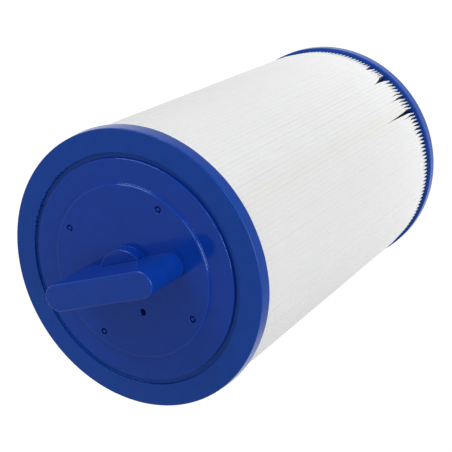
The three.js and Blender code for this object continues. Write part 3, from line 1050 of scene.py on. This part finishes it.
def core_segment(index):
    """One moulded length of the support tube, a grid of windows between hoops and staves."""
    node = f"core_segment_{index + 1}"
    angles = core_angles()
    levels = core_levels(low_mm(node).z, high_mm(node).z)
    sides = len(angles)
    column_faces = sides // CORE_COLUMNS
    stave_faces = 2
    middle = CORE_RADIUS - CORE_WALL / 2
    vertices = [
        (middle * math.cos(angle), middle * math.sin(angle), level) for level in levels for angle in angles
    ]
    faces = []
    for layer in range(len(levels) - 1):
        window_row = layer >= 2 and layer % 2 == 0 and layer < len(levels) - 2
        for side in range(sides):
            if window_row and side % column_faces >= stave_faces:
                continue
            onward = (side + 1) % sides
            base = layer * sides
            faces.append([base + side, base + onward, base + sides + onward, base + sides + side])
    segment = mesh_object(f"support_tube_{index + 1}", vertices, faces, 40.0)
    wall = segment.modifiers.new("wall", "SOLIDIFY")
    wall.thickness = CORE_WALL * MM
    wall.offset = 0.0
    edge = segment.modifiers.new("edge", "BEVEL")
    edge.width = CORE_EDGE * MM
    edge.segments = 2
    edge.limit_method = "ANGLE"
    edge.angle_limit = math.radians(50)
    place(segment, CORE_PLASTIC, node)


# ---------------------------------------------------------------- threaded adaptor


def thread_profile(turns):
    """Height of the thread's ridge, from 0 to 1, with a rounded root and crest."""
    phase = turns - math.floor(turns)
    ridge = 1 - abs(2 * phase - 1)
    flank = max(0.0, min(1.0, 2.1 * ridge - 0.55))
    return flank * flank * (3 - 2 * flank)


def threaded_adaptor():
    """Flange in the lower cap's recess, a spigot above it and a threaded nipple below."""
    face = BOTTOM_FACE
    throat = face + RECESS_DEPTH - SEAT_GAP
    spigot_end = throat + SPIGOT_REACH
    spigot_inner = SPIGOT_RADIUS - SPIGOT_WALL
    thread_length = THREAD_END - THREAD_START
    rows = int(thread_length / THREAD_PITCH * THREAD_ROWS_PER_TURN)
    thread_rows = [(THREAD_ROOT, THREAD_START + thread_length * row / rows) for row in range(1, rows)]
    corners = [
        (BORE_RADIUS, 0, 0.4),
        (THREAD_ROOT, 0, 0.9),
        (THREAD_ROOT, THREAD_START, 0),
        (THREAD_ROOT, THREAD_END, 0),
        (THREAD_ROOT, face, 0.9),
        (FLANGE_RADIUS - 8, face, 0),
        (FLANGE_RADIUS - 8.5, face + 0.5, 0.2),
        (FLANGE_RADIUS - 5, face + 0.5, 0.2),
        (FLANGE_RADIUS - 4.5, face, 0.2),
        (FLANGE_RADIUS, face, 0.5),
        (FLANGE_RADIUS, throat, 0.3),
        (SPIGOT_RADIUS, throat, 0.4),
        (SPIGOT_RADIUS, spigot_end, 0.5),
        (spigot_inner, spigot_end, 0.5),
        (spigot_inner, throat + 4, 1.0),
        (BORE_RADIUS, throat - 2, 1.5),
    ]
    outline = []
    for radius, level in rounded(corners):
        outline.append((radius, level))
        if abs(radius - THREAD_ROOT) < 1e-6 and abs(level - THREAD_START) < 1e-6:
            outline += thread_rows

    def warp(radius, level, angle):
        if abs(radius - THREAD_ROOT) < 1e-6 and THREAD_START < level < THREAD_END:
            fade = min(1.0, (level - THREAD_START) / THREAD_PITCH, (THREAD_END - level) / THREAD_PITCH)
            radius += THREAD_DEPTH * fade * thread_profile(level / THREAD_PITCH - angle / (2 * math.pi))
        return radius, level

    adaptor = revolve("outlet_adaptor", outline, 160, warp)
    even_shading(adaptor)
    place(adaptor, ADAPTOR_PLASTIC, "threaded_adaptor")


# ---------------------------------------------------------------- stage, light and camera, in metres

FLOOR_REACH = 6.0
# The floor glows evenly up to GLOW_INNER from this point, and dimly past GLOW_OUTER
GLOW_CENTRE = (-0.30, -0.05, 0.0)
GLOW_INNER = 0.42
GLOW_OUTER = 0.58
GLOW_BRIGHT = 1.0
GLOW_DIM = 0.33
WORLD_STRENGTH = 0.45
# The roll is in degrees, and the lens in millimetres
CAMERA_PLACE = (0.35874, 0.10440, 0.71461)
CAMERA_TARGET = (0.01356, -0.00113, 0.2)
CAMERA_ROLL = -121.171
CAMERA_LENS = 88.116


def floor():
    """A pale floor that glows where the object stands and fades towards the background."""
    mesh = bpy.data.meshes.new("floor")
    corners = [(x * FLOOR_REACH, y * FLOOR_REACH, 0) for x, y in ((-1, -1), (1, -1), (1, 1), (-1, 1))]
    mesh.from_pydata(corners, [], [(0, 1, 2, 3)])
    obj = bpy.data.objects.new("floor", mesh)
    bpy.context.scene.collection.objects.link(obj)
    material = bpy.data.materials.new("pale_floor")
    material.use_nodes = True
    shader = material.node_tree.nodes["Principled BSDF"]
    shader.inputs["Base Color"].default_value = (0.15, 0.15, 0.15, 1)
    shader.inputs["Roughness"].default_value = 0.9
    shader.inputs["Specular IOR Level"].default_value = 0.0
    shader.inputs["Emission Color"].default_value = (1, 1, 1, 1)
    tree = material.node_tree
    where = tree.nodes.new("ShaderNodeTexCoord")
    away = tree.nodes.new("ShaderNodeVectorMath")
    away.operation = "DISTANCE"
    away.inputs[1].default_value = GLOW_CENTRE
    tree.links.new(where.outputs["Object"], away.inputs[0])
    glow = tree.nodes.new("ShaderNodeMapRange")
    glow.interpolation_type = "SMOOTHSTEP"
    glow.inputs["From Min"].default_value = GLOW_INNER
    glow.inputs["From Max"].default_value = GLOW_OUTER
    glow.inputs["To Min"].default_value = GLOW_BRIGHT
    glow.inputs["To Max"].default_value = GLOW_DIM
    tree.links.new(away.outputs["Value"], glow.inputs["Value"])
    tree.links.new(glow.outputs["Result"], shader.inputs["Emission Strength"])
    mesh.materials.append(material)


def softbox(name, direction, distance, size, power):
    """A square area light that looks at the middle of the upper cap from a direction."""
    target = Vector((0, 0, TOP_FACE * MM))
    light = bpy.data.lights.new(name, "AREA")
    light.shape = "SQUARE"
    light.size = size
    light.energy = power
    obj = bpy.data.objects.new(name, light)
    bpy.context.scene.collection.objects.link(obj)
    towards = Vector(direction).normalized()
    obj.location = target + towards * distance
    obj.rotation_euler = (-towards).to_track_quat("-Z", "Y").to_euler()
    return obj


def studio():
    """An even surround, two softboxes and a small light that only makes highlights."""
    scene = bpy.context.scene
    world = bpy.data.worlds.new("studio")
    world.use_nodes = True
    background = world.node_tree.nodes["Background"]
    background.inputs["Color"].default_value = (1, 1, 1, 1)
    background.inputs["Strength"].default_value = WORLD_STRENGTH
    scene.world = world
    scene.view_settings.view_transform = "Standard"
    softbox("key", (-0.1, 0.93, 0.36), distance=1.6, size=1.0, power=11.0)
    softbox("fill", (0.95, -0.12, 0.17), distance=1.9, size=1.0, power=17.0)
    glint = softbox("glint", (0.72, 0.32, 0.60), distance=1.6, size=0.5, power=4.0)
    glint.visible_diffuse = False
    glint.data.color = (0.6, 0.85, 1.0)


def camera():
    """Looks down on the grip end from past the bar's +X end, rolled so that the pleats lead up and right."""
    data = bpy.data.cameras.new("camera")
    data.lens = CAMERA_LENS
    data.sensor_width = 36.0
    data.clip_start = 0.01
    obj = bpy.data.objects.new("camera", data)
    bpy.context.scene.collection.objects.link(obj)
    obj.location = CAMERA_PLACE
    backwards = obj.location - Vector(CAMERA_TARGET)
    roll = Quaternion((0, 0, 1), math.radians(CAMERA_ROLL))
    obj.rotation_euler = (backwards.to_track_quat("Z", "Y") @ roll).to_euler()
    bpy.context.scene.camera = obj


# ---------------------------------------------------------------- assembly

camera()
studio()
floor()
top_end_cap()
bottom_end_cap()
handle_plate()
hand_grip()
pleated_media()
media_seam()
for number in range(CORE_SEGMENTS):
    core_segment(number)
threaded_adaptor()

bpy.context.view_layer.update()
